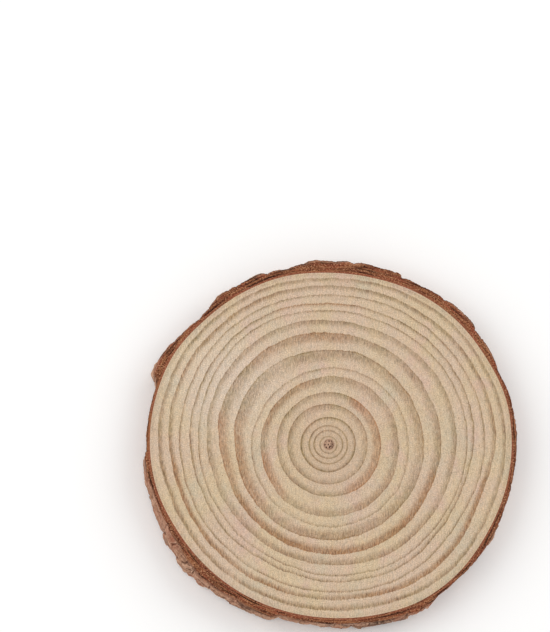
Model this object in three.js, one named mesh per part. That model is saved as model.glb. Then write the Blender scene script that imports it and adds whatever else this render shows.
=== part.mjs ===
// A slice sawn across a pine branch: a round of pale wood inside its rim of flaky bark.
// Millimetres, +Z up. The slice lies on its back face, and the origin is under the middle of its outline.
// Angles are in degrees, counter-clockwise from +X when looking down on the sawn face. A height is a share of
// the thickness: 0 on the back face and 1 on the sawn face that is up.
import * as THREE from "three";

// Driving dimensions
const THICKNESS = 10; // between the two saw cuts
const PITH = { x: -0.85, y: -1.39 }; // the branch's centre line, seen from the origin
const SEAM = 0.3; // the shrinkage gap between the dried wood and its bark

// Radius of the line between wood and bark, every 15 degrees.
const CAMBIUM = [
  49.2, 49.6, 49.1, 49.0, 48.5, 47.6, 47.3, 47.6, 47.5, 47.5, 48.2, 48.1,
  48.0, 47.7, 46.9, 46.6, 46.5, 46.4, 46.6, 47.3, 48.3, 48.5, 48.3, 48.7,
];

// Bark thickness on the sawn face, as [degrees, millimetres]. It is thin from 162 to 180 degrees, where the
// outer scales have come away from the inner bark.
const BARK = [
  [0, 1.4], [15, 1.5], [23, 1.2], [31, 2.0], [45, 2.8], [60, 2.8], [75, 3.5], [90, 3.5], [105, 2.5],
  [120, 2.9], [127, 3.1], [135, 1.8], [142, 2.2], [148, 2.7], [153, 3.2], [158, 3.1], [162, 0.8], [168, 0.8],
  [180, 1.1], [186, 1.8], [191, 2.1], [196, 1.4], [210, 1.7], [219, 2.9], [226, 3.7], [232, 3.4], [240, 2.8],
  [251, 3.0], [255, 1.9], [276, 1.9], [291, 2.2], [298, 2.4], [306, 1.1], [314, 1.2], [320, 1.8], [330, 1.9],
  [345, 1.5],
];
const THINNEST_WALL = 0.6;

// Where the furrows between the bark scales cross the rim.
const FURROWS = [
  8, 23, 38, 52, 67, 82, 97, 110, 123, 135, 147, 160, 172,
  184, 196, 208, 222, 240, 254, 266, 280, 294, 306, 318, 333, 348,
];

// How the scales differ from an even surface.
const SLANT = 4.5; // degrees by which a furrow may lean between the two faces
const WAVER = 0.9; // degrees by which it wanders on its way
const FURROW_DEPTH = 0.75;
const FURROW_REACH = 1.3; // degrees either side of its middle
const LEVEL = 0.5; // one scale stands this far above or below an even surface
const LEAN = 0.55; // one edge of a scale lifts by this much and the other sinks
const CHIP_DEPTH = 0.85; // where the upper or lower part of a scale has flaked off
const CHIP_LIMIT = 0.45; // share of the height that a chip may take
const CHIP_EDGE = 0.14; // share of the height over which its broken edge falls
const SCALLOP = 0.13; // how far that edge dips and rises across the scale
const FACE_SHARE = 0.4; // relief left at the sawn face, where the thickness above already gives the outline
const FACE_DEPTH = 0.35; // share of the height over which it grows to the full relief
const FULL_BARK = 2.4; // bark thinner than this carries less relief

// The back of the bark flares out on one side, where a thick scale slants through the slice.
const FLARE = { middle: 210, reach: 26, size: 1.9 };

// Mesh density
const WOOD_SEGMENTS = 180;
const BARK_SEGMENTS = 288;
const BARK_ROWS = 8;

const TURN = 360;
const { cos, sin, PI, floor, abs, min, max, atan2, hypot, exp } = Math;
const wrap = (degrees) => ((degrees % TURN) + TURN) % TURN;
const clamp = (t) => min(1, max(0, t));
const ease = (t) => t * t * (3 - 2 * t);
const around = (list, i) => list[((i % list.length) + list.length) % list.length];

// A repeatable draw between 0 and 1 for one property of one scale.
const PROPERTY = { slant: 1, waver: 2, level: 3, lean: 4, lowChip: 5, highChip: 6 };
function draw(scale, property) {
  const index = FURROWS.indexOf(around(FURROWS, scale)) + 1;
  const spread = sin(index * 12.9898 + property * 78.233) * 43758.5453;
  return spread - floor(spread);
}
const centred = (scale, property) => 2 * draw(scale, property) - 1;

// Radius of the line between wood and bark: a closed cubic through the driving radii.
function cambiumRadius(degrees) {
  const at = (wrap(degrees) / TURN) * CAMBIUM.length;
  const i = floor(at);
  const t = at - i;
  const [a, b, c, d] = [i - 1, i, i + 1, i + 2].map((k) => around(CAMBIUM, k));
  return b + 0.5 * t * (c - a + t * (2 * a - 5 * b + 4 * c - d + t * (3 * (b - c) + d - a)));
}

// Bark thickness on the sawn face, eased from each stop to the next.
function barkThickness(degrees) {
  const angle = wrap(degrees);
  const next = BARK.findIndex(([stop]) => stop > angle);
  const [fromAngle, from] = around(BARK, next < 0 ? -1 : next - 1);
  const [toAngle, to] = next < 0 ? [TURN, BARK[0][1]] : BARK[next];
  return from + (to - from) * ease((angle - fromAngle) / (toAngle - fromAngle));
}

// The angle of a furrow at a height. Furrows are numbered on past a full turn in both directions.
function furrowAngle(scale, height) {
  const turns = floor(scale / FURROWS.length);
  const lean = SLANT * centred(scale, PROPERTY.slant) * (height - 1);
  const waver = WAVER * sin(2 * PI * (1.3 * (height - 1) + draw(scale, PROPERTY.waver)));
  return around(FURROWS, scale) + turns * TURN + lean + waver;
}

// How deep the upper and lower parts of a scale have flaked off, along scalloped edges.
function chipDepth(scale, across, height) {
  const scallop = SCALLOP * cos(PI * across);
  const low = CHIP_LIMIT * draw(scale, PROPERTY.lowChip) - SCALLOP + scallop;
  const high = 1 + SCALLOP - CHIP_LIMIT * draw(scale, PROPERTY.highChip) - scallop;
  const fallen = (past) => ease(clamp(0.5 + past / CHIP_EDGE));
  return CHIP_DEPTH * (fallen(low - height) + fallen(height - high));
}

// How far the scales stand proud of an even bark surface.
function scaleRelief(degrees, height) {
  const angle = wrap(degrees);
  let scale = FURROWS.length - 1;
  while (furrowAngle(scale, height) > angle) scale -= 1;
  while (furrowAngle(scale + 1, height) <= angle) scale += 1;
  const start = furrowAngle(scale, height);
  const width = furrowAngle(scale + 1, height) - start;
  const across = (2 * (angle - start)) / width - 1;
  const toFurrow = 0.5 * (1 - abs(across)) * width;
  const furrow = FURROW_DEPTH * exp(-((toFurrow / FURROW_REACH) ** 2));
  const body = LEVEL * centred(scale, PROPERTY.level) + LEAN * centred(scale, PROPERTY.lean) * across;
  const share = FACE_SHARE + (1 - FACE_SHARE) * ease(clamp((1 - height) / FACE_DEPTH));
  return share * (body - furrow - chipDepth(scale, across, height));
}

// The flare swells smoothly from nothing on the sawn face to its full size on the back.
function flare(degrees, height) {
  const off = abs(wrap(degrees - FLARE.middle + TURN / 2) - TURN / 2) / FLARE.reach;
  return FLARE.size * ease(clamp(1 - off)) * (1 - height) ** 0.7;
}

function barkRadius(degrees, height) {
  const thickness = barkThickness(degrees);
  const relief = scaleRelief(degrees, height) * min(1, thickness / FULL_BARK) ** 1.5;
  const wall = max(THINNEST_WALL + SEAM / 2, thickness + relief + flare(degrees, height));
  return cambiumRadius(degrees) + wall;
}

// Lathes a blank of unit size, then moves each of its points in or out along its own direction.
function carve(profile, segments, radiusOf) {
  const blank = new THREE.LatheGeometry(profile, segments);
  blank.rotateX(PI / 2);
  const place = blank.getAttribute("position");
  for (let i = 0; i < place.count; i += 1) {
    const [x, y, z] = [place.getX(i), place.getY(i), place.getZ(i)];
    const angle = atan2(y, x);
    const radius = radiusOf((angle * 180) / PI, hypot(x, y), z);
    place.setXYZ(i, radius * cos(angle), radius * sin(angle), z);
  }
  blank.deleteAttribute("normal");
  blank.deleteAttribute("uv");
  return blank;
}

// The wood: pith and growth rings are all one piece, flat on both sawn faces.
function woodDisc() {
  const profile = [
    new THREE.Vector2(0, 0),
    new THREE.Vector2(1, 0),
    new THREE.Vector2(1, THICKNESS),
    new THREE.Vector2(0, THICKNESS),
  ];
  const shape = carve(profile, WOOD_SEGMENTS, (degrees, blank) => blank * (cambiumRadius(degrees) - SEAM / 2));
  const finish = new THREE.MeshStandardMaterial({ color: 0xd3b48c, roughness: 0.8, metalness: 0 });
  return new THREE.Mesh(shape, finish);
}

// The bark: a closed ring round the wood, smooth inside and scaly outside.
function barkRing() {
  const [inside, outside] = [1, 2];
  const wall = Array.from({ length: BARK_ROWS + 1 }, (_, row) => {
    return new THREE.Vector2(outside, (row * THICKNESS) / BARK_ROWS);
  });
  const lining = [new THREE.Vector2(inside, THICKNESS), new THREE.Vector2(inside, 0)];
  const profile = [...wall, ...lining, wall[0].clone()];
  const shape = carve(profile, BARK_SEGMENTS, (degrees, blank, z) => {
    const onLining = blank < (inside + outside) / 2;
    return onLining ? cambiumRadius(degrees) + SEAM / 2 : barkRadius(degrees, z / THICKNESS);
  });
  const finish = new THREE.MeshStandardMaterial({ color: 0x8a5a45, roughness: 0.95, metalness: 0 });
  return new THREE.Mesh(shape, finish);
}

const slice = new THREE.Group();
const wood = woodDisc();
wood.name = "wood_disc";
const bark = barkRing();
bark.name = "bark_ring";
slice.add(wood, bark);
slice.position.set(PITH.x, PITH.y, 0);

export default slice;
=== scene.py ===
# %% [markdown]
# # A slice of pine
# A thin slice sawn across a branch: a round of pale wood with its growth rings, in a rim of flaky bark.
# It lies on its back face, and the camera looks down on it.
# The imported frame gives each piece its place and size. The lesson builds two pieces on it, the sawn wood and
# the bark. Each one starts as a profile that is drawn with the extrude tool and spun once round the pith, as
# on a lathe, because a branch is nearly round. Its points are then moved to where this branch isn't round.

# %% Load the frame
import math

import bpy
import numpy as np
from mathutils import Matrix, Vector, noise


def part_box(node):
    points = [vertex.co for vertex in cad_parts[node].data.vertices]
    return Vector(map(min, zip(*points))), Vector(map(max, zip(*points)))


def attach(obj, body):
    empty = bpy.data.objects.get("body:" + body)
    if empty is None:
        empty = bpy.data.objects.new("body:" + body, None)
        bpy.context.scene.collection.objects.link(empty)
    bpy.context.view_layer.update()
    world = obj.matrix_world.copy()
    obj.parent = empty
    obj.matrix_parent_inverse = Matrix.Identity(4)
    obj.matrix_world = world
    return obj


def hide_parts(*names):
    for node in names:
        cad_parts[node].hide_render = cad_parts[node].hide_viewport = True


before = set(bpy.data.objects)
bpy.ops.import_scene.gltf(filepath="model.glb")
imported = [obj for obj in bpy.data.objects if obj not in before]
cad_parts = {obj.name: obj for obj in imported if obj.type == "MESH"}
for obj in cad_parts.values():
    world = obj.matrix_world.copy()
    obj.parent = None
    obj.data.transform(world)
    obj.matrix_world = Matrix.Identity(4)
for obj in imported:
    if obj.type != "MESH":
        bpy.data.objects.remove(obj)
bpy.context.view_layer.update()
MM = 0.001
WOOD_LOW, WOOD_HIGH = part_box("wood_disc")
THICKNESS = (WOOD_HIGH.z - WOOD_LOW.z) / MM

# %% [markdown]
# ## The outline of the branch
# A branch swells where it grew faster, so neither the wood nor its bark is round. The line between them could
# be traced as a curve, but radii at even angles are simpler to read and to change: a closed cubic through
# them gives the radius at any angle. All lengths here are millimetres from the pith, and all angles are
# degrees, counter-clockwise from +X when looking down on the sawn face.

# %% Outline
PITH = (-0.85, -1.39)
TURN = 360
CAMBIUM = [
    49.2, 49.6, 49.1, 49.0, 48.5, 47.6, 47.3, 47.6, 47.5, 47.5, 48.2, 48.1,
    48.0, 47.7, 46.9, 46.6, 46.5, 46.4, 46.6, 47.3, 48.3, 48.5, 48.3, 48.7,
]


def closed_curve(radii, degrees):
    """The radius at each angle of a closed cubic through evenly spaced radii."""
    radii = np.asarray(radii, float)
    at = (degrees % TURN) / TURN * len(radii)
    i = np.floor(at).astype(int)
    t = at - i
    a, b, c, d = (radii[(i + k) % len(radii)] for k in (-1, 0, 1, 2))
    return b + 0.5 * t * (c - a + t * (2 * a - 5 * b + 4 * c - d + t * (3 * (b - c) + d - a)))


def ease(t):
    """A smooth rise from 0 to 1 as t goes from 0 to 1."""
    t = np.clip(t, 0, 1)
    return t * t * (3 - 2 * t)


def degrees_off(degrees, middle):
    """How far each angle is from the middle one, the shorter way round."""
    return np.abs((degrees - middle + TURN / 2) % TURN - TURN / 2)


print("wood radius", min(CAMBIUM), "to", max(CAMBIUM), "mm")

# %% [markdown]
# ## A profile spun into a ring
# Wood and bark are both lathe shapes. By hand one would add a plane, merge it to a single point, extrude that
# point along the profile and spin the result round the pith. The same operators do it here. The spin leaves
# its first and last copies in one place, so doubles are merged and the normals worked out again.

# %% Spin
SAME_PLACE = 1e-6


def select_nothing():
    for thing in bpy.context.selected_objects:
        thing.select_set(False)


def spun(name, profile, steps):
    """A ring spun from (radius, height) points: each point is one extrusion from the last."""
    select_nothing()
    bpy.ops.mesh.primitive_plane_add(size=MM, location=(0, 0, 0))
    ring = bpy.context.object
    ring.name = ring.data.name = name
    bpy.ops.object.mode_set(mode="EDIT")
    bpy.ops.mesh.select_all(action="SELECT")
    bpy.ops.mesh.merge(type="CENTER")
    place = Vector((PITH[0] + profile[0][0], PITH[1], profile[0][1])) * MM
    bpy.ops.transform.translate(value=place)
    for (radius_a, height_a), (radius_b, height_b) in zip(profile, profile[1:]):
        move = Vector((radius_b - radius_a, 0, height_b - height_a)) * MM
        bpy.ops.mesh.extrude_vertices_move(TRANSFORM_OT_translate={"value": move})
    bpy.ops.mesh.select_all(action="SELECT")
    centre = (PITH[0] * MM, PITH[1] * MM, 0)
    bpy.ops.mesh.spin(steps=steps, angle=math.tau, center=centre, axis=(0, 0, 1))
    bpy.ops.mesh.select_all(action="SELECT")
    bpy.ops.mesh.remove_doubles(threshold=SAME_PLACE)
    bpy.ops.mesh.normals_make_consistent(inside=False)
    bpy.ops.object.mode_set(mode="OBJECT")
    print(name, len(ring.data.vertices), "points", len(ring.data.polygons), "faces")
    return ring


def points_of(ring):
    """The ring's points in millimetres from the pith, with the back face at height 0."""
    place = np.empty(len(ring.data.vertices) * 3)
    ring.data.vertices.foreach_get("co", place)
    return place.reshape(-1, 3) / MM - [*PITH, 0]


def move_points(ring, place):
    ring.data.vertices.foreach_set("co", ((place + [*PITH, 0]) * MM).ravel())
    ring.data.update()


def paint(ring, name, values):
    """Stores one number, or one group of three, at each point for the material to read."""
    kind, key = ("FLOAT", "value") if values.ndim == 1 else ("FLOAT_VECTOR", "vector")
    layer = ring.data.attributes.new(name, kind, "POINT")
    layer.data.foreach_set(key, values.astype(np.float32).ravel())


def grain(place, size, seed, octaves=1):
    """Soft noise from about -1 to 1 at each point. size is its grain in mm, along each axis or for all."""
    scaled = place / np.asarray(size, float) + seed * 17.31
    if octaves == 1:
        return np.array([noise.noise(Vector(p)) for p in scaled])
    return np.array([noise.fractal(Vector(p), 1.0, 2.0, octaves) for p in scaled])


# %% [markdown]
# ## Growth rings
# Each year the branch adds a ring: pale, fast early wood, then a darker band of late wood that stops sharply
# where winter came. Rings could be drawn with a wave texture, but real ones are neither even nor round.
# So the face of the mesh has its loops laid along this branch's own rings, and each point keeps its age as a
# number: 4.0 is the outer edge of the fourth ring, and 4.5 is halfway across the fifth. The material then
# only has to colour a ring by the fraction of its age, and the bands follow the wood wherever they wander.

# %% Ring guides
# Radius of the outer edge of each ring, in mm at 4, 8, 12 or 24 even angles.
RING_EDGES = {
    0: [0, 0, 0, 0],
    1: [2.2, 2.2, 2.7, 2.8],
    2: [3.8, 3.8, 4.3, 4.2],
    3: [5.1, 5.1, 5.6, 5.7],
    4: [7.2, 7.3, 7.3, 7.4, 7.8, 7.9, 7.8, 7.4],
    5: [10.4, 10.6, 10.9, 11.2, 11.3, 11.4, 11.1, 10.7],
    6: [14.0, 14.1, 14.2, 14.1, 14.2, 14.4, 14.4, 14.4],
    7: [18.8, 19.1, 19.0, 18.6, 18.1, 18.2, 18.5, 19.0, 19.8, 19.9, 19.7, 19.4],
    8: [21.5, 21.6, 21.4, 20.9, 20.4, 20.4, 21.0, 21.6, 22.3, 22.6, 22.3, 22.0],
    9: [25.6, 25.6, 25.7, 25.8, 26.0, 26.3, 26.0, 26.0, 26.2, 26.3, 26.2, 26.0,
        25.5, 25.3, 25.5, 25.7, 26.0, 26.1, 26.1, 26.0, 25.7, 25.6, 25.6, 25.7],
    10: [30.3, 30.4, 30.5, 30.7, 30.6, 30.6, 30.7, 31.1, 31.1, 30.8, 30.6, 30.6,
         29.6, 28.9, 29.1, 29.2, 29.4, 29.7, 29.9, 30.2, 30.2, 30.0, 29.8, 29.9],
    11: [34.5, 34.8, 34.9, 34.7, 34.3, 34.1, 34.2, 34.6, 34.5, 34.2, 34.0, 33.6,
         32.9, 32.4, 32.3, 32.2, 32.4, 32.5, 32.8, 33.2, 33.6, 33.6, 33.5, 33.7],
    12: [37.4, 37.7, 37.0, 36.9, 37.4, 36.4, 35.2, 34.9, 34.7, 35.5, 36.3, 36.3],
    13: [39.2, 39.7, 39.8, 39.8, 39.2, 39.0, 38.9, 39.3, 39.3, 38.8, 38.3, 37.9,
         37.4, 36.8, 36.7, 36.7, 36.4, 36.5, 37.2, 37.6, 38.1, 37.7, 37.6, 37.9],
    14: [42.1, 42.4, 41.9, 41.3, 41.5, 40.9, 40.2, 39.9, 39.6, 40.0, 40.7, 40.4],
    15: [45.1, 45.4, 45.3, 44.9, 44.5, 44.1, 43.9, 44.0, 44.1, 43.9, 44.0, 43.8,
         43.1, 42.4, 42.2, 42.0, 42.0, 41.9, 42.0, 42.6, 43.6, 43.9, 43.4, 43.3],
    16: [48.0, 48.1, 47.9, 47.8, 47.3, 46.6, 46.1, 46.3, 46.4, 46.4, 46.6, 46.4,
         46.1, 45.3, 45.0, 44.9, 44.7, 44.9, 44.9, 45.4, 46.3, 46.9, 46.8, 47.2],
    17: CAMBIUM,
}
OLDEST = max(RING_EDGES)


def ring_edge(ring, degrees):
    """Radius of the outer edge of a ring at each angle."""
    return closed_curve(RING_EDGES[ring], degrees)


for ring in range(OLDEST + 1):
    print("ring", ring, "mean radius", round(float(ring_edge(ring, np.arange(TURN)).mean()), 1), "mm")

# %% [markdown]
# ## The sawn wood
# The profile runs from the pith out along the upper face, down the rim and back along the lower face. Each
# ring gets four loops, closer together towards its dark edge, so that the colour of the band has points to
# follow. The blank is round, with its loops at even steps of age. Then every point moves to the radius that
# its age has in its own direction. Late wood is harder, so it stands up a little after sanding. Besides its
# age, each point keeps its pace: how many rings there are to the millimetre, and which way they follow.

# %% Sawn wood
LOOP_FRACTIONS = (0.4, 0.75, 0.93, 1.0)
BLANK_STEP = 2.5
WOOD_STEPS = 360
RIDGE = 0.03
LATE_START, LATE_RISE = 0.4, 0.5
UNEVEN = 0.02
ROUNDING = 1e-4
RIM_MARGIN = 1e-3

ages = [0.0] + [year + part for year in range(OLDEST) for part in LOOP_FRACTIONS]
upper = [(age * BLANK_STEP, THICKNESS) for age in ages]
lower = [(age * BLANK_STEP, 0.0) for age in reversed(ages)]
wood = spun("sawn_wood", upper + lower, WOOD_STEPS)

blank = points_of(wood)
age = np.hypot(blank[:, 0], blank[:, 1]) / BLANK_STEP
angle = np.degrees(np.arctan2(blank[:, 1], blank[:, 0]))
edges = np.stack([ring_edge(ring, angle) for ring in range(OLDEST + 1)])
year = np.clip(np.floor(age + ROUNDING).astype(int), 0, OLDEST - 1)
column = np.arange(len(age))
inner_edge, outer_edge = edges[year, column], edges[year + 1, column]
radius = inner_edge + (age - year) * (outer_edge - inner_edge)
ridge = RIDGE * ease((age - year - LATE_START) / LATE_RISE)
direction = np.stack([np.cos(np.radians(angle)), np.sin(np.radians(angle))], 1)
outward = np.where(blank[:, 2] > THICKNESS / 2, 1, -1)
shaped = np.column_stack([direction * radius[:, None], blank[:, 2]])
inside = radius < ring_edge(OLDEST, angle) - RIM_MARGIN
shaped[:, 2] += outward * inside * (ridge - RIDGE + UNEVEN * (grain(shaped, 9, seed=1) - 1))
move_points(wood, shaped)

pace = 1 / (outer_edge - inner_edge)
paint(wood, "age", age)
paint(wood, "pace", np.column_stack([direction * pace[:, None], pace]))
print("wood thickness", round(float(np.ptp(shaped[:, 2])), 3), "mm")

# %% [markdown]
# ## Stained stretches
# Resin and the first touch of weather have turned some stretches of late wood reddish, orange or darker. They
# could be left to a random texture, but a few of them are what makes this slice this one. Each is a ring,
# the angles between which it is stained, how warm it turned, how much darker and how many mm wider its band
# is there. They fade at both ends. The early wood is bleached a little in one patch as well. A place that
# goes round with the rings is kept too, for noise that should follow them.

# %% Stains
FADE = 14
PALE_MIDDLE = (-28, 17)
PALE_REACH = 22
ROUND_DETAIL = 4
STAINS = [
    (5, 0, 70, 0.35, 0.0, 0.3),
    (5, 80, 200, 0.0, 0.25, 0.2),
    (6, 290, 425, 0.8, 0.3, 1.3),
    (6, 38, 60, 1.0, 0.25, 1.3),
    (7, 100, 168, 0.35, 0.3, 0.0),
    (7, 188, 232, 0.85, 0.1, 0.3),
    (7, 280, 335, 0.5, 0.1, 0.0),
    (7, 20, 80, 0.3, -0.1, 0.4),
    (9, 80, 170, 0.0, 0.0, 1.2),
    (9, 165, 228, 0.7, 0.2, 0.4),
    (9, 350, 420, 0.25, -0.05, 0.0),
    (9, 235, 320, 0.25, 0.15, 0.0),
    (10, 80, 190, 0.0, 0.05, 0.9),
    (10, 80, 135, 0.5, 0.05, 0.0),
    (10, 165, 205, 0.8, 0.05, 0.3),
    (10, 205, 345, 0.6, 0.5, 0.1),
    (11, 225, 320, 0.15, 0.2, 0.0),
    (13, 80, 112, 0.6, 0.05, 0.0),
    (14, 165, 300, 0.1, 0.12, 0.0),
    (15, 110, 165, 0.3, 0.05, 0.0),
    (15, 182, 255, 0.5, 0.3, 0.2),
    (15, 275, 350, 0.5, 0.2, 0.5),
    (15, 350, 380, 0.2, -0.05, 0.0),
    (16, 170, 300, 0.1, 0.18, 0.2),
]

warm, deep, wide = np.zeros((3, len(age)))
band_of = np.ceil(age - ROUNDING)
for ring, start, end, warmth, depth, widening in STAINS:
    middle, reach = (start + end) / 2, (end - start) / 2
    off = degrees_off(angle, middle)
    amount = ease((reach - off) / FADE + 0.5) * (band_of == ring)
    warm = np.maximum(warm, warmth * amount)
    deep += depth * amount
    wide = np.maximum(wide, widening * amount)
paint(wood, "stain", np.column_stack([warm, deep, wide]))
paint(wood, "round", np.column_stack([direction * ROUND_DETAIL, age * ROUND_DETAIL]))
from_pale = np.hypot(shaped[:, 0] - PALE_MIDDLE[0], shaped[:, 1] - PALE_MIDDLE[1])
paint(wood, "pale", ease(1.1 - from_pale / PALE_REACH))
print(len(STAINS), "stained stretches,", int((warm > 0.1).sum()), "points touched")

# %% [markdown]
# ## Bark thickness
# The bark's outer side is a height over the wood: a thickness that changes round the branch, scales parted by
# furrows, chips where a scale has flaked, and a flare where a thick scale slants through the slice. These are
# the same rules, with the same draws, as shaped the frame's bark, so the fine mesh lies on it. The thickness
# on the sawn face comes first. It could be drawn as a curve, but a list of angles, each with its millimetres,
# is easier to correct.

# %% Bark thickness
BARK = [
    (0, 1.4), (15, 1.5), (23, 1.2), (31, 2.0), (45, 2.8), (60, 2.8), (75, 3.5), (90, 3.5),
    (105, 2.5), (120, 2.9), (127, 3.1), (135, 1.8), (142, 2.2), (148, 2.7), (153, 3.2), (158, 3.1),
    (162, 0.8), (168, 0.8), (180, 1.1), (186, 1.8), (191, 2.1), (196, 1.4), (210, 1.7), (219, 2.9),
    (226, 3.7), (232, 3.4), (240, 2.8), (251, 3.0), (255, 1.9), (276, 1.9), (291, 2.2), (298, 2.4),
    (306, 1.1), (314, 1.2), (320, 1.8), (330, 1.9), (345, 1.5),
]


def bark_thickness(degrees):
    """Thickness on the sawn face, eased from each stop to the next."""
    stops = np.array([*BARK, (TURN, BARK[0][1])], float)
    around = degrees % TURN
    i = np.searchsorted(stops[:, 0], around, side="right") - 1
    t = (around - stops[i, 0]) / (stops[i + 1, 0] - stops[i, 0])
    return stops[i, 1] + (stops[i + 1, 1] - stops[i, 1]) * ease(t)


whole_turn = np.arange(0.0, TURN, 0.5)
print("bark", round(float(bark_thickness(whole_turn).mean()), 2), "mm thick on average")

# %% [markdown]
# ## Scales
# Furrows part the bark into scales. Each furrow leans and wavers on its way from the upper sawn face to the
# lower one. A scale stands a little higher or lower than the next and is tipped its own way, and its upper
# and lower parts may have flaked off along a scalloped edge. Setting all of that by hand for every scale
# would be slow, so each property is a repeatable draw from the scale's number.

# %% Scales
FURROWS = [
    8, 23, 38, 52, 67, 82, 97, 110, 123, 135, 147, 160, 172,
    184, 196, 208, 222, 240, 254, 266, 280, 294, 306, 318, 333, 348,
]
SLANT, WAVER, WAVES = 4.5, 0.9, 1.3
CHIP_DEPTH, CHIP_LIMIT, CHIP_EDGE, SCALLOP = 0.85, 0.45, 0.14, 0.13
DRAWS = {"slant": 1, "waver": 2, "level": 3, "lean": 4, "low_chip": 5, "high_chip": 6}


def draw(scale, what):
    """A repeatable number from 0 to 1 for one property of each scale."""
    spread = np.sin((scale % len(FURROWS) + 1) * 12.9898 + DRAWS[what] * 78.233) * 43758.5453
    return spread - np.floor(spread)


def centred(scale, what):
    return 2 * draw(scale, what) - 1


def furrow_angles(height):
    """The number and angle of every furrow at a height, and of some past both ends of the turn."""
    scale = np.arange(-2, len(FURROWS) + 2)
    lean = SLANT * centred(scale, "slant") * (height - 1)
    waver = WAVER * np.sin(math.tau * (WAVES * (height - 1) + draw(scale, "waver")))
    base = np.array(FURROWS)[scale % len(FURROWS)] + TURN * (scale // len(FURROWS))
    return scale, base + lean + waver


def scale_at(degrees, height):
    """For each angle: its scale's number, the place across it from -1 to 1, and degrees to a furrow."""
    numbers, starts = furrow_angles(height)
    around = degrees % TURN
    i = np.searchsorted(starts, around, side="right") - 1
    width = starts[i + 1] - starts[i]
    across = 2 * (around - starts[i]) / width - 1
    return numbers[i], across, 0.5 * (1 - np.abs(across)) * width


def chip_depth(scale, across, height):
    """How deep the lower and upper parts of a scale have flaked off."""
    scallop = SCALLOP * np.cos(np.pi * across)
    low = CHIP_LIMIT * draw(scale, "low_chip") - SCALLOP + scallop
    high = 1 + SCALLOP - CHIP_LIMIT * draw(scale, "high_chip") - scallop
    return CHIP_DEPTH * (ease(0.5 + (low - height) / CHIP_EDGE) + ease(0.5 + (height - high) / CHIP_EDGE))


print(len(FURROWS), "scales, one every", round(TURN / len(FURROWS), 1), "degrees")

# %% [markdown]
# ## The bark's wall
# Thickness, scales and flare add up to the wall of bark at any angle and height. The relief is held back at
# the sawn face, where the thickness already gives the outline, and on thin bark. The flare swells smoothly
# from nothing on the sawn face to its full size on the back.

# %% Bark wall
FURROW_DEPTH, FURROW_REACH = 0.75, 1.3
LEVEL, LEAN = 0.5, 0.55
FACE_SHARE, FACE_DEPTH, FULL_BARK = 0.4, 0.35, 2.4
FLARE_MIDDLE, FLARE_REACH, FLARE_SIZE = 210, 26, 1.9
THINNEST_WALL = 0.75


def scale_relief(degrees, height):
    """How far the scales stand proud of an even bark surface."""
    scale, across, to_furrow = scale_at(degrees, height)
    furrow = FURROW_DEPTH * np.exp(-((to_furrow / FURROW_REACH) ** 2))
    body = LEVEL * centred(scale, "level") + LEAN * centred(scale, "lean") * across
    share = FACE_SHARE + (1 - FACE_SHARE) * ease((1 - height) / FACE_DEPTH)
    return share * (body - furrow - chip_depth(scale, across, height))


def flare(degrees, height):
    off = degrees_off(degrees, FLARE_MIDDLE) / FLARE_REACH
    return FLARE_SIZE * ease(1 - off) * (1 - height) ** 0.7


def bark_wall(degrees, height):
    """Bark outside the wood, in mm, at each angle and one height from 0, the back, to 1, the face."""
    thickness = bark_thickness(degrees)
    relief = scale_relief(degrees, height) * np.minimum(1, thickness / FULL_BARK) ** 1.5
    return np.maximum(THINNEST_WALL, thickness + relief + flare(degrees, height))


for side, height in (("face", 1.0), ("back", 0.0)):
    around_it = bark_wall(whole_turn, height)
    print("at the", side, round(float(around_it.min()), 2), "to", round(float(around_it.max()), 2), "mm")

# %% [markdown]
# ## The bark blank
# The bark's profile goes out along its upper sawn section, down the scaly side, back along the lower section
# and up the inner wall, where it meets the wood. The blank has a telling shape: each point's radius and
# height say where in the profile it is, so the points can be found again after the spin.

# %% Bark blank
BARK_STEPS = 1200
SIDE_ROWS = 44
SECTION_LOOPS = 11
BLANK_IN, BLANK_OUT = 40.0, 51.0
BLANK_MARGIN = 0.01

out_steps = np.linspace(0, 1, SECTION_LOOPS + 1)
down_steps = np.linspace(0, 1, SIDE_ROWS + 1)[1:-1]
section_radii = BLANK_IN + (BLANK_OUT - BLANK_IN) * out_steps
bark_profile = [(r, THICKNESS) for r in section_radii]
bark_profile += [(BLANK_OUT, THICKNESS * (1 - t)) for t in down_steps]
bark_profile += [(r, 0.0) for r in reversed(section_radii)]
bark_profile += [bark_profile[0]]
bark = spun("flaky_bark", bark_profile, BARK_STEPS)

blank = points_of(bark)
turns = np.degrees(np.arctan2(blank[:, 1], blank[:, 0])) % TURN
step = np.round(turns / TURN * BARK_STEPS).astype(int) % BARK_STEPS
blank_radius = np.hypot(blank[:, 0], blank[:, 1])
share_out = np.clip((blank_radius - BLANK_IN) / (BLANK_OUT - BLANK_IN), 0, 1)
on_side = blank_radius > BLANK_OUT - BLANK_MARGIN
row = np.round((1 - blank[:, 2] / THICKNESS) * SIDE_ROWS).astype(int)
print("steps", len(np.unique(step)), "side points", int(on_side.sum()))

# %% [markdown]
# ## A grid for the side
# The side's relief is worked out on a grid of heights, one column for each step round and one row for each
# row of points, because neighbours are easy to find there. Every place of the grid is also given as a point
# on an even cylinder, where noise can be looked up without a seam.

# %% Side grid
MEAN_RADIUS = 50
ARC = math.tau * MEAN_RADIUS

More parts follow.
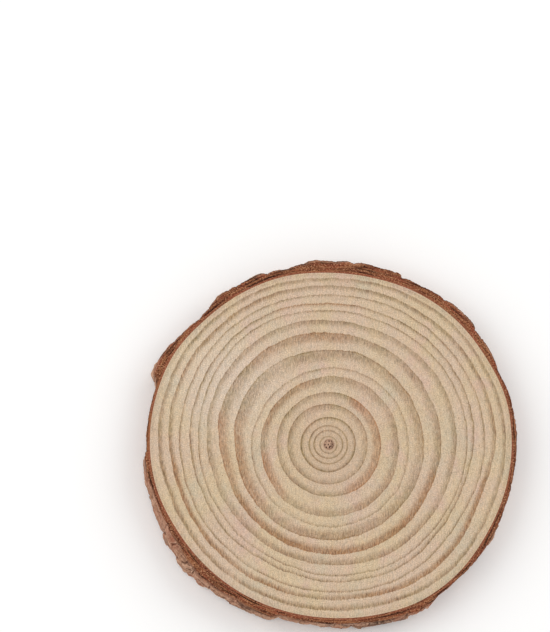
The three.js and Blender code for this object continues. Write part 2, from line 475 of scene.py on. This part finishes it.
grid_angle = np.arange(BARK_STEPS) * TURN / BARK_STEPS
grid_height = 1 - np.arange(SIDE_ROWS + 1) / SIDE_ROWS
unit = np.stack([np.cos(np.radians(grid_angle)), np.sin(np.radians(grid_angle))], 1)
hoops = [np.column_stack([unit * MEAN_RADIUS, np.full(BARK_STEPS, h * THICKNESS)]) for h in grid_height]
even = np.concatenate(hoops)
arc = np.tile(grid_angle / TURN * ARC, SIDE_ROWS + 1)
print("grid of", BARK_STEPS, "by", SIDE_ROWS + 1, "places, one every", round(ARC / BARK_STEPS, 2), "mm round")

# %% [markdown]
# ## Plates
# Pine bark comes off in thin layers. Its side is a patchwork of thin plates, each a little higher or lower
# than the next and tipped its own way, with fine cracks between them. They could be cut out one by one, but
# cells round scattered points give the same patchwork: each place belongs to the nearest point, and the
# crack runs where two points are equally near. Ragged noise keeps the cracks from being straight.

# %% Plates
PLATES_ROUND, PLATE_ROWS = 30, 2
PLATE_LEVEL, PLATE_TIP, PLATE_REACH = 0.3, 0.32, 5
CRACK_DEPTH, CRACK_REACH = 0.4, 0.2
SCATTER = 0.4
RAGGED = 1.1
STRETCH_UP = 0.8
FAR = 99.0

ragged = np.stack([grain(even, 2.6, seed=s, octaves=3) for s in (2, 3)], 1) * RAGGED
luck = np.random.default_rng(7)
gap = np.full(len(even), FAR)
nearest = np.full(len(even), FAR)
plate = np.zeros((len(even), 3))
for number in range(PLATES_ROUND * PLATE_ROWS):
    place_round, place_up = divmod(number, PLATE_ROWS)
    middle = (place_round + 0.5 * place_up + luck.uniform(-SCATTER, SCATTER)) * ARC / PLATES_ROUND
    height = (place_up + 0.5 + luck.uniform(-SCATTER, SCATTER)) * THICKNESS / PLATE_ROWS
    level, tip, shade = luck.uniform(-1, 1, 3)
    off_round = (arc + ragged[:, 0] - middle + ARC / 2) % ARC - ARC / 2
    off_up = (even[:, 2] + ragged[:, 1] - height) * STRETCH_UP
    distance = np.hypot(off_round, off_up)
    closer = distance < nearest
    gap = np.where(closer, nearest - distance, np.minimum(gap, distance - nearest))
    nearest = np.where(closer, distance, nearest)
    plate[closer, 0] = level
    plate[closer, 1] = tip * off_round[closer] / PLATE_REACH
    plate[closer, 2] = shade
plate_crack = np.exp(-((gap / 2 / CRACK_REACH) ** 2)) * ease(0.75 + 1.6 * grain(even, 5, seed=4))
print("plates", PLATES_ROUND * PLATE_ROWS, "mean gap", round(float(gap.mean()), 2), "mm")

# %% [markdown]
# ## Layers
# Where half a plate has come off, the layer below shows behind a scalloped edge. A soft noise rounded to
# whole steps gives such layers: each step's edge wanders like a contour line on a map. Where the thick scale
# slants through the slice, the layers lie nearly flat and run on round the side.

# %% Layers
CLIFF = 0.1
RIM_CURL, RIM_REACH = 0.25, 0.08


def as_grid(values):
    return values.reshape(SIDE_ROWS + 1, BARK_STEPS)


def terraces(field):
    """Rounds a soft field to whole steps, with a short cliff between them and a rim that curls up."""
    level = np.floor(field)
    part = field - level
    cliff = ease((part - 0.5 + CLIFF / 2) / CLIFF)
    curl = RIM_CURL * np.exp(-(((part - 0.5 - CLIFF) / RIM_REACH) ** 2))
    return level + cliff + curl


flaring = ease(1.3 - np.abs(grid_angle - FLARE_MIDDLE) / FLARE_REACH)
scalloped = as_grid(2.0 * grain(even + 2.2 * ragged[:, :1], (9, 9, 7), seed=5, octaves=2))
lying = as_grid(2.2 * grain(even, (16, 16, 2.8), seed=6, octaves=2))
layered = terraces(scalloped * (1 - 0.7 * flaring) + lying * (0.25 + flaring))
print("layers", round(float(layered.min()), 1), "to", round(float(layered.max()), 1))

# %% [markdown]
# ## The side's relief
# Scales, plates and layers are laid over each other, with a crack along each furrow. Fine fibres run along
# the branch, and small pits roughen the side, most of all at the crumbled edge of the sawn face. Thin bark
# has little room for any of this: its outer scales have gone, and only a few remnants stand on it.

# %% Side relief
STEP = 0.2
FURROW_CRACK, FURROW_CRACK_REACH = 0.3, 0.35
FIBRE, PITS, EDGE_PITS = 0.06, 0.07, 0.09
REMNANT = 0.22
CRACK_ROOM = 0.2

wall = np.stack([bark_wall(grid_angle, h) for h in grid_height])
scales = [scale_at(grid_angle, h) for h in grid_height]
scale_number = np.stack([s[0] for s in scales])
to_furrow = np.stack([s[2] for s in scales])
furrow_crack = np.exp(-((to_furrow / FURROW_CRACK_REACH) ** 2))
plated = as_grid(PLATE_LEVEL * plate[:, 0] + PLATE_TIP * plate[:, 1] - CRACK_DEPTH * plate_crack)
coarse = plated + STEP * layered - FURROW_CRACK * furrow_crack

fibre = as_grid(grain(even, (0.5, 0.5, 5), seed=8, octaves=2))
pitted = as_grid(grain(even, 0.6, seed=9, octaves=2))
from_face = 1 - grid_height[:, None]
crumbly = PITS + EDGE_PITS * ease(1 - 6 * from_face)
fine = FIBRE * fibre + crumbly * pitted

room = np.minimum(1, bark_thickness(grid_angle) / FULL_BARK)
calm = 0.35 + 0.65 * ease(from_face / 0.15)
remnant = as_grid(ease(4 * grain(even, (3, 3, 4), seed=18, octaves=2) - 0.4))
wall += room * calm * coarse + (0.4 + 0.6 * room) * fine
wall += REMNANT * (1 - room) * calm * remnant
wall = np.maximum(wall, THINNEST_WALL - CRACK_ROOM)
print("side relief", round(float(wall.min()), 2), "to", round(float(wall.max()), 2), "mm of bark")

# %% [markdown]
# ## Painted shade in hollows, painted highlight on edges
# Hollows are darkened as painted shade, and raised edges are lightened, partly as fresh, pale bark and
# partly as a painted highlight. Blurring the heights and taking the blur away leaves just that: below zero in
# a hollow, above zero on an edge. The tone says which of the bark's colours a place has, and changes from
# plate to plate and from scale to scale.

# %% Hollow map
BLUR = 2
HOLLOW_DEPTH, EDGE_HEIGHT = 0.12, 0.1


def blurred(values, reach):
    """The mean over a square of the grid. Steps wrap round the ring, and rows stop at its two faces."""
    total = np.zeros_like(values)
    for shift in range(-reach, reach + 1):
        total += np.roll(values, shift, axis=1)
    rows = np.pad(total, ((reach, reach), (0, 0)), mode="edge")
    stacked = sum(rows[k:k + len(values)] for k in range(2 * reach + 1))
    return stacked / (2 * reach + 1) ** 2


raised = wall - blurred(wall, BLUR)
# Painted shade goes where the relief is hollow, and a painted highlight, mixed with fresh pale bark, where it
# is raised.
hollow_shade = np.clip(-raised / HOLLOW_DEPTH, 0, 1) * room
edge = np.clip(raised / EDGE_HEIGHT, 0, 1) * room
tone = 0.75 * as_grid(plate[:, 2]) + 0.35 * np.sin(scale_number * 2.4) + 0.1 * layered
tone = tone * (1 - 0.7 * flaring) + 0.25 * flaring
for what, values in (("hollow_shade", hollow_shade), ("edge", edge)):
    print(what, "share", round(float((values > 0.5).mean()), 3))

# %% [markdown]
# ## Shaping the bark
# Now each point of the blank takes its place. Side points read the height grid. Points on the two sawn
# sections lie between the wood and the side. A branch's bark is layered like an onion, and some layers have
# let go of each other, which leaves small cracks that follow the ring, and one long split.

# %% Place the bark
LAYER = 0.85
CRACK_START, CRACK_WIDTH = 0.5, 0.15
SPLIT_MIDDLE, SPLIT_REACH, SPLIT_FADE = 72, 38, 10
DEPTH_STRETCH, FACES_APART = 6, 40

cambium_here = closed_curve(CAMBIUM, grid_angle)[step]
outer_row = np.where(on_side, row, np.where(blank[:, 2] > THICKNESS / 2, 0, SIDE_ROWS))
outer_wall = wall[outer_row, step]
layer = share_out * outer_wall
bark_radius = cambium_here + layer
direction = unit[step]
shaped = np.column_stack([direction * bark_radius[:, None], blank[:, 2]])
facing = np.where(blank[:, 2] > THICKNESS / 2, 1, -1)
on_section = (row == 0) | (row == SIDE_ROWS)

along = np.column_stack([direction * MEAN_RADIUS, layer * DEPTH_STRETCH + facing * FACES_APART])
layers = layer / LAYER + 0.5 * grain(along, (9, 9, 60), seed=12)
near_line = np.abs(layers - np.round(layers)) * LAYER
long_split = ease((SPLIT_REACH - np.abs(turns - SPLIT_MIDDLE)) / SPLIT_FADE) * (np.round(layers) == 2)
let_go = ease(grain(along, (7, 7, 9), seed=13) * 2.6 + 0.1 + 0.6 * long_split)
torn = let_go * np.exp(-((near_line / CRACK_WIDTH) ** 2)) * (layer > CRACK_START)
print("cracked share of the sections", round(float((torn[on_section] > 0.5).mean()), 3))

# %% [markdown]
# ## The torn section
# A saw leaves wood smooth but tears bark, so the sections lie a little below the wood's faces. They are
# granular, sink into the cracks, and are rounded off at the outer edge, where the bark has crumbled.

# %% Sink the sections
SECTION_SINK = 0.06
ROUGH = 0.11
CRACK_SINK = 0.3
CRUMBLE = 0.22

rough = ROUGH * (1 - grain(shaped, 0.7, seed=14, octaves=2))
at_rim = ease((share_out - 0.8) / 0.2)
rounding = CRUMBLE * at_rim * (1 + 0.6 * grain(shaped, 1.6, seed=15))
drop = SECTION_SINK + ease(layer / 0.3) * rough + CRACK_SINK * torn + rounding
shaped[:, 2] -= on_section * facing * np.maximum(drop, 0)
move_points(bark, shaped)
print("bark", len(shaped), "points, across", np.ptp(shaped, axis=0).round(2), "mm")

# %% [markdown]
# ## Painting the bark
# The finishes need to know what the shape knows: where a hollow, an edge, a layer or a crack is. Each of
# these is stored as a number at every point. Between two angles the outer scales have come off, and the
# smoother bark under them is bare but for the remnants. The border of that stretch is torn as well.

# %% Paint the bark
STRIPPED_FROM, STRIPPED_TO = 160, 186

torn_border = turns + 5 * grain(shaped, (3, 3, 4), seed=17, octaves=2)
stripped = ease((torn_border - STRIPPED_FROM) / 1.5) * ease((STRIPPED_TO - torn_border) / 2.5)
pale_rim = at_rim * ease(grain(along, (10, 10, 99), seed=16) * 3 + 0.4)
# The hollows carry painted shade and the raised edges a painted highlight, which is partly fresh pale bark.
paint(bark, "hollow_shade", np.where(on_side, hollow_shade[outer_row, step], 0))
paint(bark, "edge", np.where(on_side, edge[outer_row, step], 0))
paint(bark, "tone", tone[outer_row, step])
paint(bark, "layer", layer)
paint(bark, "torn", torn)
paint(bark, "rim", pale_rim * on_section)
paint(bark, "along", along)
paint(bark, "stripped", stripped * (1 - remnant[outer_row, step]))
print("painted", [a.name for a in bark.data.attributes if a.data_type.startswith("FLOAT")])

# %% [markdown]
# ## Materials
# Materials are node trees. The class below has one short method for each kind of node that this slice needs,
# so that a finish reads as a few lines of what it does to the surface. Places are Object coordinates in
# millimetres, divided by the size that a pattern should have.

# %% Node helpers


def colour(hexadecimal):
    """A linear colour from the usual six digits."""
    parts = [int(hexadecimal[i:i + 2], 16) / 255 for i in (0, 2, 4)]
    return (*[p / 12.92 if p <= 0.04045 else ((p + 0.055) / 1.055) ** 2.4 for p in parts], 1.0)


class Finish:
    """A material and the few ways in which this lesson adds nodes to it."""

    def __init__(self, name, roughness, specular):
        self.material = bpy.data.materials.new(name)
        self.material.use_nodes = True
        self.tree = self.material.node_tree
        self.shader = self.tree.nodes["Principled BSDF"]
        self.shader.inputs["Roughness"].default_value = roughness
        self.shader.inputs["Specular IOR Level"].default_value = specular
        self.place = self.tree.nodes.new("ShaderNodeTexCoord").outputs["Object"]

    def feed(self, socket, value):
        if isinstance(value, bpy.types.NodeSocket):
            self.tree.links.new(value, socket)
        elif value is not None:
            socket.default_value = value

    def painted(self, name, output="Fac"):
        """What the mesh keeps at its points: Fac is a single number, and Vector is a group of three."""
        node = self.tree.nodes.new("ShaderNodeAttribute")
        node.attribute_name = name
        return node.outputs[output]

    def sums(self, operation, *values):
        node = self.tree.nodes.new("ShaderNodeMath")
        node.operation = operation
        for socket, value in zip(node.inputs, values):
            self.feed(socket, value)
        return node.outputs[0]

    def add(self, a, b):
        return self.sums("ADD", a, b)

    def times(self, a, b):
        return self.sums("MULTIPLY", a, b)

    def sized(self, size, seed=0.0, place=None, unit=1 / MM):
        """The place divided by a size in mm, so that one unit of a texture is that long."""
        node = self.tree.nodes.new("ShaderNodeMapping")
        self.feed(node.inputs["Vector"], place or self.place)
        node.inputs["Scale"].default_value = [unit / s for s in size]
        node.inputs["Location"].default_value = (seed * 7.7, seed * 3.1, seed * 5.3)
        return node.outputs[0]

    def noise(self, size, seed=0.0, detail=2.0, place=None, unit=1 / MM):
        """Soft noise from 0 to 1, with its grain given in mm along each axis."""
        node = self.tree.nodes.new("ShaderNodeTexNoise")
        self.feed(node.inputs["Vector"], self.sized(size, seed, place, unit))
        node.inputs["Scale"].default_value = 1
        node.inputs["Detail"].default_value = detail
        return node.outputs["Fac"]

    def cells(self, size, seed=0.0):
        """Distance to the nearest of many scattered points, about one in each box of that size in mm."""
        node = self.tree.nodes.new("ShaderNodeTexVoronoi")
        self.feed(node.inputs["Vector"], self.sized(size, seed))
        node.inputs["Scale"].default_value = 1
        return node.outputs["Distance"]

    def rise(self, value, low, high):
        """0 below low, 1 above high, and smooth between. The other way round, it falls."""
        node = self.tree.nodes.new("ShaderNodeMapRange")
        node.interpolation_type = "SMOOTHSTEP"
        for name, given in (("Value", value), ("From Min", low), ("From Max", high)):
            self.feed(node.inputs[name], given)
        return node.outputs["Result"]

    def spread(self, value, low, high):
        """Stretches noise, which keeps near its middle, to run from low to high."""
        node = self.tree.nodes.new("ShaderNodeMapRange")
        node.clamp = False
        self.feed(node.inputs["Value"], value)
        for name, given in (("From Min", 0.3), ("From Max", 0.7), ("To Min", low), ("To Max", high)):
            node.inputs[name].default_value = given
        return node.outputs["Result"]

    def mix(self, amount, a, b, blend="MIX"):
        node = self.tree.nodes.new("ShaderNodeMix")
        node.data_type = "RGBA"
        node.blend_type = blend
        self.feed(node.inputs[0], amount)
        self.feed(node.inputs[6], a)
        self.feed(node.inputs[7], b)
        return node.outputs[2]

    def stops(self, value, colours, steps=False):
        """A colour ramp through (position, colour) pairs."""
        node = self.tree.nodes.new("ShaderNodeValToRGB")
        node.color_ramp.interpolation = "CONSTANT" if steps else "EASE"
        bar = node.color_ramp.elements
        while len(bar) < len(colours):
            bar.new(1.0)
        for element, (position, shade) in zip(bar, colours):
            element.position = position
            element.color = shade
        self.feed(node.inputs["Fac"], value)
        return node.outputs["Color"]

    def split(self, value):
        node = self.tree.nodes.new("ShaderNodeSeparateXYZ")
        self.feed(node.inputs[0], value)
        return node.outputs

    def joined(self, *values):
        node = self.tree.nodes.new("ShaderNodeCombineXYZ")
        for socket, value in zip(node.inputs, values):
            self.feed(socket, value)
        return node.outputs[0]

    def finish(self, base, height, depth):
        """Wires the colour and a bump from a height field of that depth in mm."""
        bump = self.tree.nodes.new("ShaderNodeBump")
        bump.inputs["Distance"].default_value = depth * MM
        self.feed(bump.inputs["Height"], height)
        self.feed(self.shader.inputs["Normal"], bump.outputs[0])
        self.feed(self.shader.inputs["Base Color"], base)
        return self.material


# %% [markdown]
# ## Wood finish
# Early wood is cream, and each late-wood band darkens slowly outwards and stops at once. How strong and how
# wide the band is differs from year to year, so a stepped ramp holds those values for each ring. The saw and
# the sander ran one way across the face, and their fine streaks drag the bands a little to and fro: the age
# is looked up slightly off to one side, by a noise that is narrow across the streaks and long along them. A
# softer noise makes the rings waver. Both are weaker near the pith, where the rings are small.

# %% Wood values
# For each ring: strength of the soft band, its width in mm, strength of the thin line at its edge, and
# the mm over which the edge ends.
YEARS = [
    (0.38, 0.5, 0.42, 0.06), (0.36, 0.6, 0.48, 0.06), (0.36, 0.7, 0.42, 0.06), (0.46, 1.3, 0.56, 0.07),
    (0.44, 2.0, 0.34, 0.12), (0.50, 2.1, 0.28, 0.15), (0.56, 2.9, 0.18, 0.18), (0.24, 1.3, 0.32, 0.10),
    (0.54, 3.5, 0.32, 0.18), (0.58, 2.9, 0.22, 0.22), (0.52, 2.3, 0.22, 0.25), (0.24, 1.2, 0.46, 0.12),
    (0.38, 1.4, 0.48, 0.15), (0.28, 1.2, 0.42, 0.12), (0.66, 1.8, 0.16, 0.30), (0.66, 1.7, 0.14, 0.45),
    (0.20, 1.3, 0.0, 0.20),
]
WIDEST = 4.0
STREAK, SLOW_SHARE = 0.13, 0.15
WOBBLE = 0.14
OUTER_FROM, OUTER_TO = 4.5, 8.0

# Nearly every line uses its finish, so w is short for the wood's, s for the sawn bark's, o for the outside's.
w = Finish("sawn_pine", roughness=0.72, specular=0.28)
streak = w.spread(w.noise((0.25, 3.0, 3), seed=1, detail=2), -1, 1)
slow_streak = w.spread(w.noise((0.8, 9, 5), seed=2), -1, 1)
wobble = w.spread(w.noise((4.6, 4.6, 4), seed=3, detail=5), -1, 1)
_, pace_y, pace_out = w.split(w.painted("pace", "Vector"))
outer = w.rise(w.painted("age"), OUTER_FROM, OUTER_TO)
both_streaks = w.times(w.add(streak, w.times(slow_streak, SLOW_SHARE)), STREAK)
slip = w.times(w.times(pace_y, w.add(0.2, outer)), both_streaks)
wander = w.times(w.times(pace_out, wobble), w.times(w.add(0.4, outer), WOBBLE))
grown = w.add(w.painted("age"), w.add(slip, wander))
grown = w.sums("MAXIMUM", grown, 0.01)
fraction = w.sums("FRACT", grown)
which = w.times(w.add(w.sums("FLOOR", grown), 0.5), 1 / OLDEST)
year_stops = [(i / OLDEST, (year[0], year[1] / WIDEST, year[2], year[3])) for i, year in enumerate(YEARS)]
by_year = w.stops(which, year_stops, steps=True)
band, width, line = w.split(by_year)
edge_width = by_year.node.outputs["Alpha"]
print(len(w.tree.nodes), "nodes so far;", len(YEARS), "rings")

# %% [markdown]
# ## Late wood
# The late wood of a ring is a soft band and, at its outer edge, a thin dark line. Both are measured in mm
# inwards from the edge. Stains deepen and widen the band, patches make it uneven, and a fine vertical comb
# breaks it up, as the saw does on the real face. Noise that goes round with the rings adds faint false ones.

# %% Late wood
to_edge = w.sums("SUBTRACT", 1, fraction)
edge_mm = w.sums("DIVIDE", to_edge, pace_out)
stained = w.split(w.painted("stain", "Vector"))
whole_width = w.add(w.times(width, WIDEST), stained[2])
band_in = w.rise(edge_mm, whole_width, w.times(whole_width, 0.3))
sharp = w.rise(edge_mm, 0.0, edge_width)
soft_band = w.times(w.times(band, band_in), sharp)
thin_line = w.times(w.times(line, w.rise(edge_mm, 0.65, 0.2)), sharp)
patchy = w.spread(w.noise((9, 9, 8), seed=4), 0.72, 1.22)
late = w.add(w.times(soft_band, w.add(patchy, stained[1])), w.times(thin_line, patchy))
comb = w.spread(w.noise((0.26, 1.1, 3), seed=5, detail=2), -1, 1)
late = w.times(late, w.add(0.97, w.times(comb, w.add(0.16, w.times(outer, 0.14)))))
faint = w.noise((1, 1, 1), seed=15, detail=2, place=w.painted("round", "Vector"), unit=1)
late = w.add(late, w.times(w.rise(faint, 0.5, 0.72), 0.1))
late = w.sums("MINIMUM", late, 1.15)
print(len(w.tree.nodes), "nodes so far")

# %% [markdown]
# ## Wood colours
# Early wood is cream, but not evenly so: soft patches of it are yellower, pinker or greyer. Late wood is
# brown, and warmer where it is stained. One picture could give all of this, but a few mixed colours stay
# sharp at any distance. At last comes the fine grain, flecks and the hatching of the saw, and a few painted
# glints, small painted highlights.

# %% Wood colours
early = w.mix(w.rise(w.noise((11, 16, 10), seed=6), 0.36, 0.64), colour("cab199"), colour("cab393"))
pinkish = w.rise(w.noise((7, 9, 8), seed=7, detail=3), 0.5, 0.72)
early = w.mix(w.times(pinkish, 0.7), early, colour("cbac9a"))
greyish = w.rise(w.noise((8, 12, 8), seed=8, detail=3), 0.52, 0.74)
early = w.mix(w.times(greyish, 0.7), early, colour("c1b299"))
early = w.mix(w.rise(w.painted("age"), 7.5, 1.0), early, colour("c1a78c"))
early = w.mix(w.times(w.painted("pale"), 0.5), early, colour("d6c6b3"))
dark = w.mix(w.rise(w.noise((7, 7, 8), seed=9), 0.35, 0.65), colour("8e7753"), colour("93755a"))
dark = w.mix(stained[0], dark, colour("9d6c48"))
base = w.mix(late, early, dark)
fleck = w.spread(w.noise((0.27, 0.3, 0.4), seed=10, detail=1), 0.79, 1.21)
hatch = w.spread(w.noise((0.3, 1.5, 4), seed=11, detail=1), -1, 1)
fleck = w.times(fleck, w.add(1, w.times(hatch, w.add(0.09, w.times(late, 0.22)))))
# Painted highlight: a few small glints make the wood's colour brighter.
glint = w.rise(w.noise((0.36, 0.36, 0.5), seed=16), 0.64, 0.74)
fleck = w.add(fleck, w.times(glint, 0.13))
warmer = w.spread(w.noise((0.6, 0.9, 0.7), seed=14, detail=3), 0.965, 1.035)
tint = w.joined(w.times(fleck, warmer), fleck, w.sums("DIVIDE", fleck, warmer))
base = w.mix(1.0, base, tint, "MULTIPLY")
print(len(w.tree.nodes), "nodes")

# %% [markdown]
# ## Pith and resin
# The pith is a soft spot 2.5 mm wide, once the shoot's own middle. It is pinkish, flecked with dark
# red-brown and has a darker ring round it, and a few tiny resin canals dot the wood further out. The
# finish ends with a shallow bump: dark grain lies a touch lower, the streaks are fine grooves, and the
# pith's flecks are pits.

# %% Pith
WOOD_BUMP = 0.05

from_pith = w.add(w.painted("age"), w.times(wobble, 0.05))
pith_area = w.rise(from_pith, 0.6, 0.46)
dots = w.rise(w.add(w.cells((0.5, 0.5, 0.5), seed=12), w.times(wobble, 0.12)), 0.6, 0.3)
base = w.mix(w.times(w.rise(from_pith, 0.9, 0.55), 0.4), base, colour("bc9478"))
off_ring = w.sums("ABSOLUTE", w.sums("SUBTRACT", from_pith, 0.52))
base = w.mix(w.times(w.rise(off_ring, 0.12, 0.02), 0.55), base, colour("75523f"))
base = w.mix(w.times(pith_area, 0.4), base, colour("a37660"))
base = w.mix(w.times(pith_area, dots), base, colour("472c20"))
canal = w.times(w.rise(w.cells((3.4, 3.4, 3.4), seed=13), 0.052, 0.03), w.rise(from_pith, 5.5, 6.5))
base = w.mix(w.times(canal, 0.7), base, colour("6b4a33"))
height = w.add(w.times(w.sums("SUBTRACT", 1, late), 0.35), w.times(streak, 0.25))
height = w.sums("SUBTRACT", height, w.times(w.times(pith_area, dots), 1.2))
wood.data.materials.append(w.finish(base, height, WOOD_BUMP))
print(len(w.tree.nodes), "nodes in the wood finish")

# %% [markdown]
# ## Sawn bark
# The bark needs two finishes. This one is for where the saw went through: dark red-brown and granular, with
# the layers showing as lines, dark cracks, a paler crumbled rim, and a smooth redder band next to the wood.
# The lines have to follow the ring, so their noise reads the painted place, not the object's.

# %% Sawn bark
SECTION_BUMP = 0.22

s = Finish("sawn_bark", roughness=0.9, specular=0.12)
along_place = s.painted("along", "Vector")
depth_in = s.painted("layer")
lines = s.noise((7, 7, 1.5), seed=1, detail=3, place=along_place, unit=1)
speck = s.noise((0.36, 0.36, 0.36), seed=2, detail=2)
blotch = s.noise((5, 5, 4), seed=3, place=along_place, unit=1)
section = s.mix(s.rise(lines, 0.36, 0.64), colour("5c2d1e"), colour("9c6644"))
section = s.mix(s.rise(blotch, 0.45, 0.7), section, colour("8c4a33"))
section = s.mix(s.rise(speck, 0.54, 0.7), section, colour("c08e6c"))
section = s.mix(s.rise(speck, 0.46, 0.3), section, colour("2b130d"))
inner_band = s.times(s.rise(depth_in, 0.8, 0.3), s.rise(blotch, 0.3, 0.5))
inner_bark = s.mix(s.rise(speck, 0.35, 0.65), colour("854a36"), colour("a86e52"))
section = s.mix(s.times(inner_band, 0.7), section, inner_bark)
section = s.mix(s.times(s.painted("torn"), 0.9), section, colour("24110c"))
section = s.mix(s.times(s.painted("rim"), 0.55), section, colour("c79a80"))
section = s.mix(s.times(s.painted("stripped"), 0.6), section, colour("9a6440"))
rough_height = s.add(speck, s.times(lines, 0.7))
bark.data.materials.append(s.finish(section, rough_height, SECTION_BUMP))
print(len(s.tree.nodes), "nodes in the sawn bark finish")

# %% [markdown]
# ## Bark outside
# The outside is weathered: pinkish tan to grey-brown scales, with a ramp that turns the painted tone into
# one of their colours. Dark fibres, pale grit and greyish patches lie over it, then the bare inner bark
# where the scales have come off, pale edges that are partly fresh bark and partly a painted highlight, and
# painted shade in the hollows. The sawn finish is the bark's first, so the faces whose corners are all on
# the side are given the second.

# %% Bark outside
OUTSIDE_BUMP = 0.2

o = Finish("bark_outside", roughness=0.92, specular=0.1)
tone_here = o.add(o.painted("tone"), o.spread(o.noise((3.5, 3.5, 6), seed=1, detail=3), -0.4, 0.4))
scale_colours = [
    (0.0, colour("4e3a30")), (0.2, colour("74503f")), (0.36, colour("9a5f48")), (0.5, colour("b08069")),
    (0.66, colour("a3765c")), (0.82, colour("bd937b")), (1.0, colour("8e6f62")),
]
outside = o.stops(o.add(o.times(tone_here, 0.42), 0.5), scale_colours)
fibres = o.noise((0.3, 0.3, 3.2), seed=2, detail=3)
grit = o.noise((0.4, 0.4, 0.4), seed=3, detail=3)
outside = o.mix(o.times(o.rise(fibres, 0.5, 0.3), 0.45), outside, colour("57372b"))
outside = o.mix(o.times(o.rise(grit, 0.55, 0.75), 0.5), outside, colour("c9a38a"))
weathered = o.rise(o.noise((6, 6, 8), seed=4), 0.58, 0.7)
outside = o.mix(o.times(weathered, 0.5), outside, colour("6c6058"))
bare = o.mix(o.rise(fibres, 0.35, 0.65), colour("774c38"), colour("ab7a5a"))
bare = o.mix(o.rise(o.noise((0.9, 0.9, 14), seed=5), 0.45, 0.65), bare, colour("8f5c42"))
bare = o.mix(o.rise(o.noise((4, 4, 6), seed=6), 0.5, 0.65), bare, colour("a5795f"))
outside = o.mix(o.times(o.painted("stripped"), 0.9), outside, bare)
# Raised edges are lightened: partly fresh, pale bark, partly a painted highlight.
outside = o.mix(o.times(o.painted("edge"), 0.65), outside, colour("d3ab90"))
# Painted shade: the hollows are darkened towards dark brown, more in some places than in others.
shade = o.times(o.painted("hollow_shade"), o.spread(o.noise((2.5, 2.5, 3), seed=7), 0.55, 0.95))
outside = o.mix(shade, outside, colour("3a221a"))
outside_height = o.add(o.times(fibres, 0.8), grit)
bark.data.materials.append(o.finish(outside, outside_height, OUTSIDE_BUMP))

outside_faces = np.array([all(on_side[v] for v in face.vertices) for face in bark.data.polygons])
bark.data.polygons.foreach_set("material_index", outside_faces.astype(np.int32))
print("outside faces", int(outside_faces.sum()), "of", len(outside_faces))

# %% [markdown]
# ## Smooth shading and the frame
# The wood's faces and the bark's fine relief should shade smoothly, but the saw's edges stay crisp, so the
# shading is smooth only where neighbouring faces meet at a small angle. Then each piece is told which body
# it rides on, and the frame's solid that it stands for is hidden.

# %% Shade and ride
WOOD_CRISP, BARK_CRISP = 30, 60

for piece, crisp in ((wood, WOOD_CRISP), (bark, BARK_CRISP)):
    select_nothing()
    piece.select_set(True)
    bpy.context.view_layer.objects.active = piece
    bpy.ops.object.shade_smooth_by_angle(angle=math.radians(crisp))
    piece.select_set(False)

for piece, node, slot in ((wood, "wood_disc", "sawn_pine"), (bark, "bark_ring", "pine_bark")):
    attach(piece, "root")
    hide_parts(node)
    print(piece.name, "stands for", node)

# %% [markdown]
# ## Floor and light
# A studio sweep is white paper under large soft lamps. A plane is enough for the floor. The world gives an
# even fill, and two wide lamps from the left and the right model the bark without hard shadows.

# %% Floor and lamps
FLOOR_SIZE = 4.0
FLOOR_BELOW = 0.0002
PAPER = (0.97, 0.97, 0.97, 1)
FILL_COLOUR = (1.0, 0.995, 0.985, 1)
FILL = 0.74
LAMP_SIZE = 0.9

select_nothing()
bpy.ops.mesh.primitive_plane_add(size=FLOOR_SIZE, location=(0, 0, -FLOOR_BELOW))
floor = bpy.context.object
floor.name = "floor"
paper = Finish("white_paper", roughness=0.9, specular=0.1)
paper.shader.inputs["Base Color"].default_value = PAPER
floor.data.materials.append(paper.material)

world = bpy.data.worlds.new("studio")
world.use_nodes = True
fill = world.node_tree.nodes["Background"]
fill.inputs["Color"].default_value = FILL_COLOUR
fill.inputs["Strength"].default_value = FILL
bpy.context.scene.world = world


def lamp(name, place, power):
    """A square area lamp that faces the slice."""
    select_nothing()
    bpy.ops.object.light_add(type="AREA", location=place)
    light = bpy.context.object
    light.name = name
    light.data.shape = "SQUARE"
    light.data.size = LAMP_SIZE
    light.data.energy = power
    light.rotation_euler = (-Vector(place)).to_track_quat("-Z", "Y").to_euler()


lamp("left_lamp", (-0.75, 0.1, 0.8), power=3.7)
lamp("right_lamp", (0.75, 0.5, 0.85), power=3.6)
bpy.context.scene.view_settings.view_transform = "Standard"

# %% [markdown]
# ## Camera
# In the photograph the slice stands and leans back a little, so it is seen slightly from its lower left, from
# two thirds of a metre away. Here it lies down, and the camera looks down on it from the same side. The
# lens is given by how many pixels of the picture one metre covers at a metre's distance, for a picture whose
# long side has 632 of them.

# %% Camera
CAMERA = Vector((-0.0501, -0.1177, 0.640))
AIM = Vector((-0.0154, 0.0336, 0.010))
LENS_IN_PIXELS = 2394
LONG_SIDE = 632
SENSOR = 36.0

bpy.ops.object.camera_add(location=CAMERA)
camera = bpy.context.object
forward = (AIM - CAMERA).normalized()
right = forward.cross(Vector((0, 1, 0))).normalized()
up = right.cross(forward)
turned = camera.matrix_world.copy()
for column_number, axis in enumerate((right, up, -forward)):
    for row_number in range(3):
        turned[row_number][column_number] = axis[row_number]
camera.matrix_world = turned
camera.data.sensor_fit = "AUTO"
camera.data.sensor_width = SENSOR
camera.data.lens = LENS_IN_PIXELS / LONG_SIDE * SENSOR
bpy.context.scene.camera = camera
print("lens", round(camera.data.lens, 1), "mm")

# %% [markdown]
# ## Finish
# Last, the view layer is updated.

# %% Finish
bpy.context.view_layer.update()
